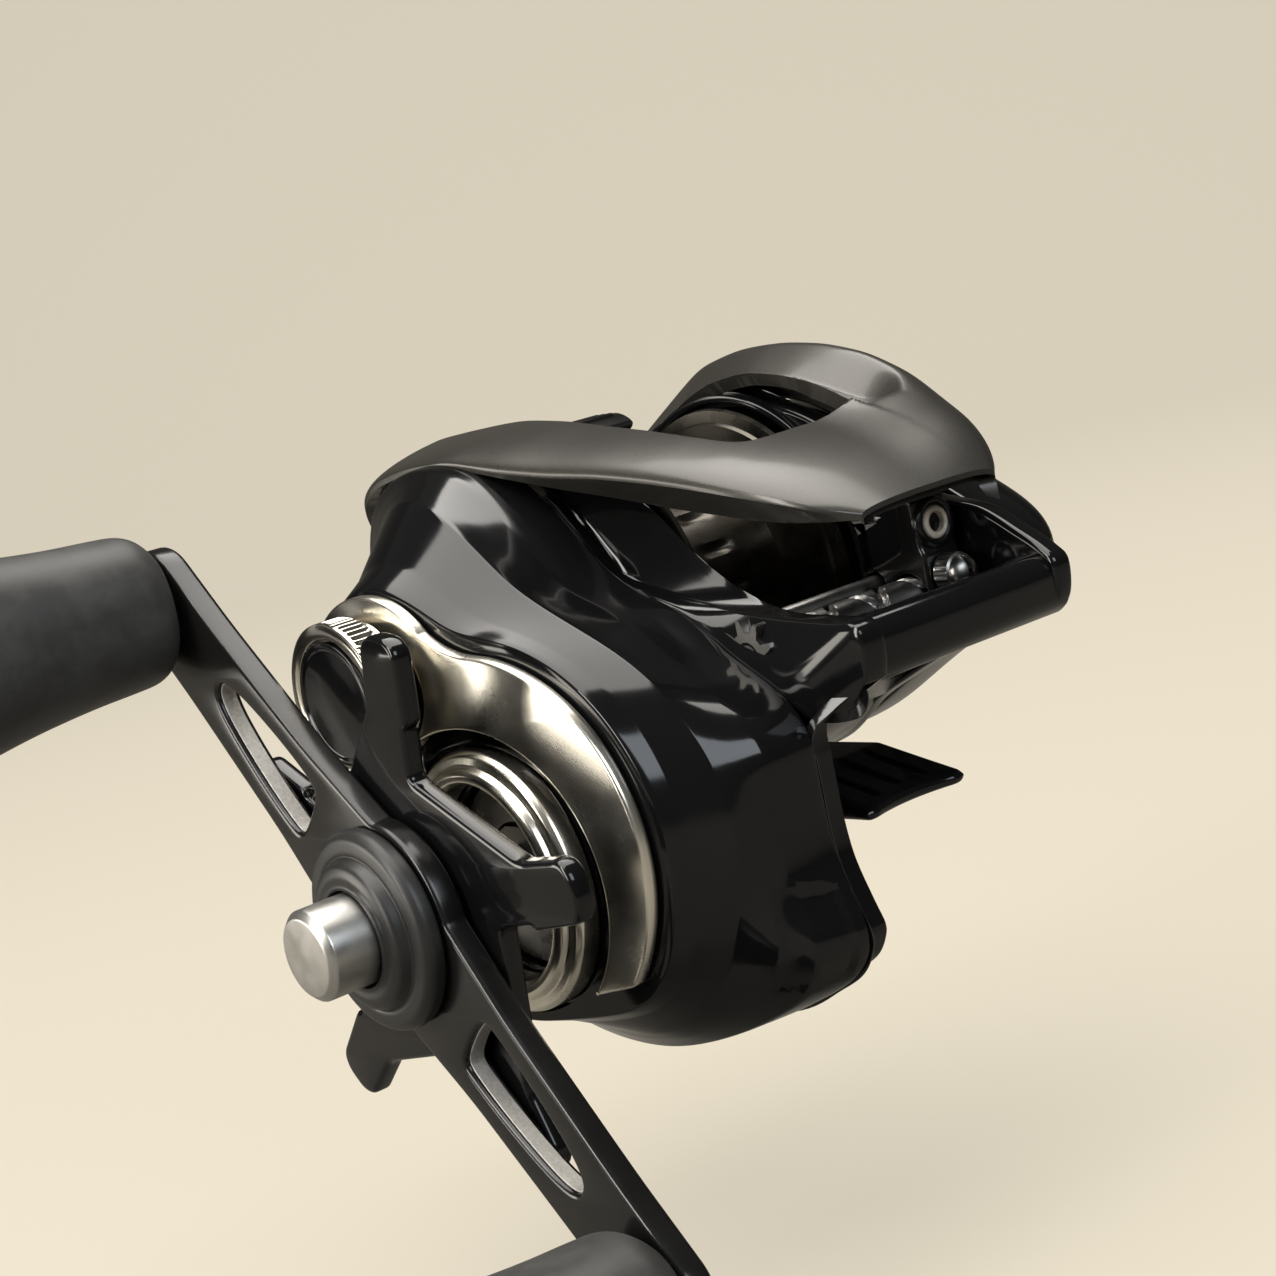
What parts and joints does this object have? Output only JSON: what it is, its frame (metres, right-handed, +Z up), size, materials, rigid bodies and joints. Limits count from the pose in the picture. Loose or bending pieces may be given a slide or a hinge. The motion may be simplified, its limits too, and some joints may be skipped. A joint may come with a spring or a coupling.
{
  "type": "low profile baitcasting fishing reel",
  "caption": "Low-profile baitcasting fishing reel, right-hand retrieve, with twin-knob crank handle, star drag, cast control cap, thumb clutch bar and level-wind line guide.",
  "frame": {"origin": "middle of the flat underside of the reel foot", "axes": "+Z up, away from the rod; +Y forward along the cast, where the line leaves; +X out of the handle side, along the spool and drive shaft axes"},
  "size_m": [0.1031, 0.0755, 0.0823],
  "materials": {
    "gloss_black": "mirror gloss black",
    "satin_grey": "satin warm grey",
    "satin_black": "satin black anodised",
    "silver": "polished, warm silver",
    "brushed": "brushed",
    "aluminium": "anodised",
    "brass": "machined",
    "steel": "ground",
    "rubber": "matte",
    "ceramic": "glazed",
    "felt": "pressed fibre"
  },
  "bodies": {
    "reel_body": {"frame": "gloss_black", "top_cover": "satin_grey", "gear_side_cover": "gloss_black", "gear_cover_screw_1": "steel", "gear_cover_screw_2": "steel", "gear_cover_screw_3": "steel", "side_trim_plate": "silver", "drive_collar": "silver", "drive_bearing_inner": "steel", "drive_bearing_outer": "steel", "roller_clutch": "steel", "pinion_bearing": "steel", "spool_bearing_gear_side": "steel", "yoke_post_front": "steel", "yoke_post_rear": "steel", "guide_bar": "steel", "worm_bush_gear_side": "brass", "worm_bush_palm_side": "brass"},
    "palm_cover": {"palm_side_cover": "gloss_black", "magnet_ring": "steel", "spool_bearing_palm_side": "steel"},
    "dial": {"brake_dial": "satin_black"},
    "lock": {"cover_lock_knob": "satin_black"},
    "spool": {"spool": "aluminium", "spool_shaft": "steel", "brake_rotor": "aluminium"},
    "pinion": {"pinion_gear": "brass"},
    "yoke": {"clutch_yoke": "satin_black"},
    "cam": {"clutch_cam": "steel"},
    "thumb_bar": {"clutch_bar": "satin_black"},
    "handle": {"handle_arm": "satin_black", "nut_retainer": "satin_black", "handle_nut": "brushed", "drive_shaft": "steel", "drive_gear": "brass", "drag_washer": "felt", "key_washer": "steel", "clutch_sleeve": "steel", "wind_drive_gear": "aluminium", "ratchet_wheel": "steel", "knob_shaft_a": "steel", "knob_shaft_b": "steel"},
    "star": {"star_drag": "gloss_black"},
    "cast_cap": {"cast_control_cap": "silver", "cap_inlay": "gloss_black", "cap_friction_pad": "brass"},
    "knob_upper": {"knob_a": "rubber", "knob_bearing_a": "steel", "knob_cap_a": "satin_black"},
    "knob_lower": {"knob_b": "rubber", "knob_bearing_b": "steel", "knob_cap_b": "satin_black"},
    "idler": {"idler_gear": "aluminium"},
    "worm": {"worm_shaft": "steel", "worm_gear": "aluminium"},
    "guide": {"line_guide": "satin_black", "guide_ring": "ceramic", "pawl_cap": "steel"}
  },
  "joints": [
    {"name": "handle_turn", "type": "hinge", "parent": "reel_body", "child": "handle", "pos_m": [0, 0.009, 0.0025], "axis": [1, 0, 0], "continuous": true},
    {"name": "spool_spin", "type": "hinge", "parent": "reel_body", "child": "spool", "pos_m": [0, 0, 0.0215], "axis": [1, 0, 0], "continuous": true},
    {"name": "pinion_shift", "type": "slide", "parent": "reel_body", "child": "yoke", "axis": [1, 0, 0], "range_m": [0, 0.002]},
    {"name": "pinion_spin", "type": "hinge", "parent": "yoke", "child": "pinion", "pos_m": [0, 0, 0.0215], "axis": [1, 0, 0], "continuous": true},
    {"name": "clutch_press", "type": "slide", "parent": "reel_body", "child": "thumb_bar", "axis": [0, 0, -1], "range_m": [0, 0.0035]},
    {"name": "cam_turn", "type": "hinge", "parent": "reel_body", "child": "cam", "pos_m": [0, 0, 0.0215], "axis": [1, 0, 0], "range_deg": [0, 22]},
    {"name": "star_drag_turn", "type": "hinge", "parent": "handle", "child": "star", "pos_m": [0, 0.009, 0.0025], "axis": [1, 0, 0], "range_deg": [-360, 360]},
    {"name": "cast_cap_turn", "type": "hinge", "parent": "reel_body", "child": "cast_cap", "pos_m": [0, 0, 0.0215], "axis": [1, 0, 0], "range_deg": [-360, 360]},
    {"name": "knob_upper_spin", "type": "hinge", "parent": "handle", "child": "knob_upper", "pos_m": [0.0626, -0.01964, 0.03322], "axis": [1, 0, 0], "continuous": true},
    {"name": "knob_lower_spin", "type": "hinge", "parent": "handle", "child": "knob_lower", "pos_m": [0.0626, 0.03764, -0.02822], "axis": [1, 0, 0], "continuous": true},
    {"name": "idler_spin", "type": "hinge", "parent": "reel_body", "child": "idler", "pos_m": [0, 0.01998, 0.01129], "axis": [1, 0, 0], "continuous": true},
    {"name": "worm_spin", "type": "hinge", "parent": "reel_body", "child": "worm", "pos_m": [0, 0.0286, 0.0182], "axis": [1, 0, 0], "continuous": true},
    {"name": "line_guide_travel", "type": "slide", "parent": "reel_body", "child": "guide", "axis": [1, 0, 0], "range_m": [-0.0003, 0.0159]},
    {"name": "palm_cover_removal", "type": "slide", "parent": "reel_body", "child": "palm_cover", "axis": [-1, 0, 0], "range_m": [0, 0.014]},
    {"name": "brake_dial_turn", "type": "hinge", "parent": "palm_cover", "child": "dial", "pos_m": [-0.0237, 0, 0.0215], "axis": [-1, 0, 0], "range_deg": [0, 300]},
    {"name": "cover_lock_turn", "type": "hinge", "parent": "palm_cover", "child": "lock", "pos_m": [-0.0237, 0.026, 0.0195], "axis": [-1, 0, 0], "range_deg": [0, 90]}
  ],
  "couplings": [
    {"joint": "spool_spin", "follows": "handle_turn", "ratio": -7.1},
    {"joint": "pinion_spin", "follows": "handle_turn", "ratio": -7.1},
    {"joint": "idler_spin", "follows": "handle_turn", "ratio": -0.75},
    {"joint": "worm_spin", "follows": "handle_turn", "ratio": 2},
    {"joint": "pinion_shift", "follows": "clutch_press", "ratio": 0.5714},
    {"joint": "cam_turn", "follows": "clutch_press", "rad_per_m": 109.6}
  ]
}
